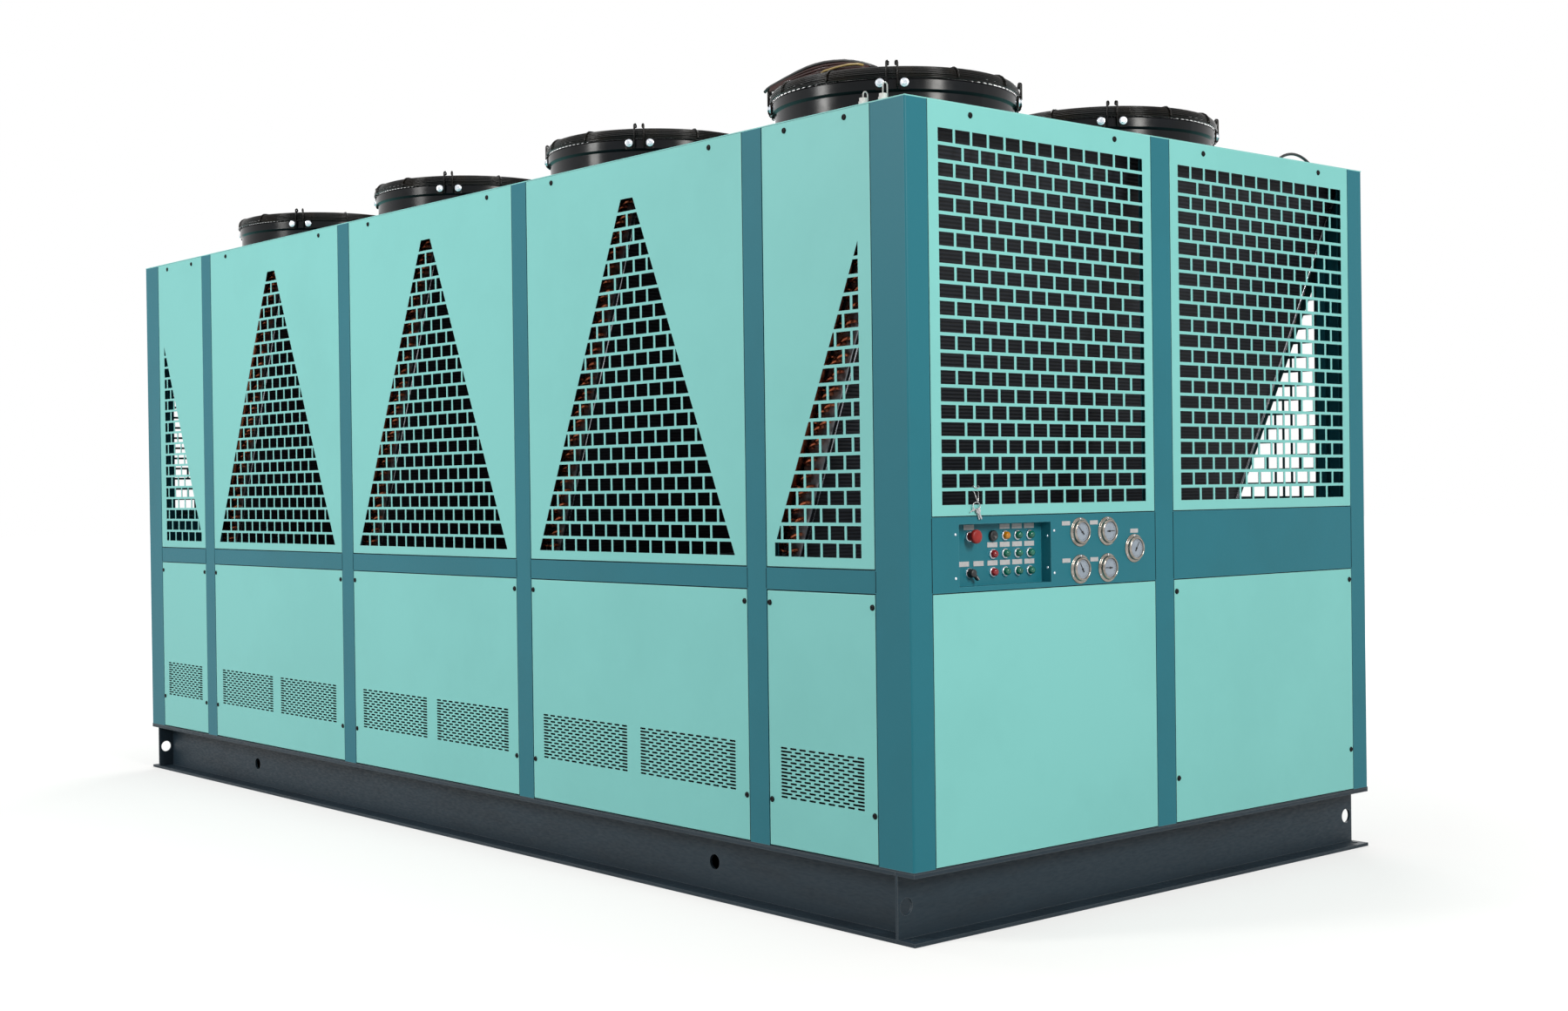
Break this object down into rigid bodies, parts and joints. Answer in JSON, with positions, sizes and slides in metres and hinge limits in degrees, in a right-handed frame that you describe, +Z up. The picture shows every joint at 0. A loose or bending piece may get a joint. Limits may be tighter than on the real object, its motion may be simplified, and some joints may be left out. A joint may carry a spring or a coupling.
{
  "type": "air cooled water chiller",
  "caption": "Long sheet metal cabinet on a channel base, with V shaped coils behind pierced panels, roof fans under wire guards and a recessed control panel with gauges.",
  "frame": {"origin": "on the ground under the middle of the base", "axes": "+X along the length towards the end with the controls, +Z up, -Y towards the front"},
  "size_m": [5.095, 2.2, 2.596],
  "materials": {
    "base_steel": "satin",
    "post_paint": "satin",
    "panel_paint": "satin",
    "fan_paint": "gloss",
    "fan_blade": "satin",
    "coil_fins": "matt",
    "galvanised": "satin",
    "gauge_chrome": "polished",
    "lamp_lens": "gloss",
    "black_plastic": "satin",
    "red_plastic": "satin",
    "gland_plastic": "satin",
    "cable_sheath": "satin"
  },
  "bodies": {
    "cabinet": {"base_long_channels": "base_steel", "base_end_channels": "base_steel", "base_cross_members": "base_steel", "base_deck": "base_steel", "corner_posts": "post_paint", "side_posts": "post_paint", "end_posts": "post_paint", "side_rails": "post_paint", "end_rails": "post_paint", "control_rail": "post_paint", "control_box": "post_paint", "front_lower_panels": "panel_paint", "back_lower_panels": "panel_paint", "end_lower_panels": "panel_paint", "front_grille_left": "panel_paint", "front_grille_middle": "panel_paint", "front_grille_right": "panel_paint", "front_half_grilles": "panel_paint", "back_grille_left": "panel_paint", "back_grille_middle": "panel_paint", "back_grille_right": "panel_paint", "back_half_grilles": "panel_paint", "left_end_grille_front": "panel_paint", "left_end_grille_back": "panel_paint", "right_end_grille_front": "panel_paint", "right_end_grille_back": "panel_paint", "roof_panels": "panel_paint", "coil_deck": "galvanised", "condenser_coils": "coil_fins", "coil_end_plates": "galvanised", "fan_cowls": "fan_paint", "fan_guards": "fan_paint", "fan_motors": "fan_paint", "pressure_gauges": "gauge_chrome", "pilot_lamps": "lamp_lens", "buzzer": "black_plastic", "cable_glands": "gland_plastic", "cables": "cable_sheath"},
    "fan_1": {"impeller_1": "fan_blade"},
    "fan_2": {"impeller_2": "fan_blade"},
    "fan_3": {"impeller_3": "fan_blade"},
    "fan_4": {"impeller_4": "fan_blade"},
    "fan_5": {"impeller_5": "fan_blade"},
    "fan_6": {"impeller_6": "fan_blade"},
    "fan_7": {"impeller_7": "fan_blade"},
    "fan_8": {"impeller_8": "fan_blade"},
    "stop_button": {"emergency_stop": "red_plastic"},
    "selector": {"selector_switch": "black_plastic"}
  },
  "joints": [
    {"name": "fan_1_spin", "type": "hinge", "parent": "cabinet", "child": "fan_1", "pos_m": [-1.887, -0.505, 2.397], "axis": [0, 0, 1], "continuous": true},
    {"name": "fan_2_spin", "type": "hinge", "parent": "cabinet", "child": "fan_2", "pos_m": [-0.629, -0.505, 2.397], "axis": [0, 0, 1], "continuous": true},
    {"name": "fan_3_spin", "type": "hinge", "parent": "cabinet", "child": "fan_3", "pos_m": [0.629, -0.505, 2.397], "axis": [0, 0, 1], "continuous": true},
    {"name": "fan_4_spin", "type": "hinge", "parent": "cabinet", "child": "fan_4", "pos_m": [1.887, -0.505, 2.397], "axis": [0, 0, 1], "continuous": true},
    {"name": "fan_5_spin", "type": "hinge", "parent": "cabinet", "child": "fan_5", "pos_m": [-1.887, 0.505, 2.397], "axis": [0, 0, 1], "continuous": true},
    {"name": "fan_6_spin", "type": "hinge", "parent": "cabinet", "child": "fan_6", "pos_m": [-0.629, 0.505, 2.397], "axis": [0, 0, 1], "continuous": true},
    {"name": "fan_7_spin", "type": "hinge", "parent": "cabinet", "child": "fan_7", "pos_m": [0.629, 0.505, 2.397], "axis": [0, 0, 1], "continuous": true},
    {"name": "fan_8_spin", "type": "hinge", "parent": "cabinet", "child": "fan_8", "pos_m": [1.887, 0.505, 2.397], "axis": [0, 0, 1], "continuous": true},
    {"name": "stop_press", "type": "slide", "parent": "cabinet", "child": "stop_button", "axis": [-1, 0, 0], "range_m": [0, 0.005]},
    {"name": "selector_turn", "type": "hinge", "parent": "cabinet", "child": "selector", "pos_m": [2.502, -0.83, 1.016], "axis": [1, 0, 0], "range_deg": [-90, 0]}
  ]
}
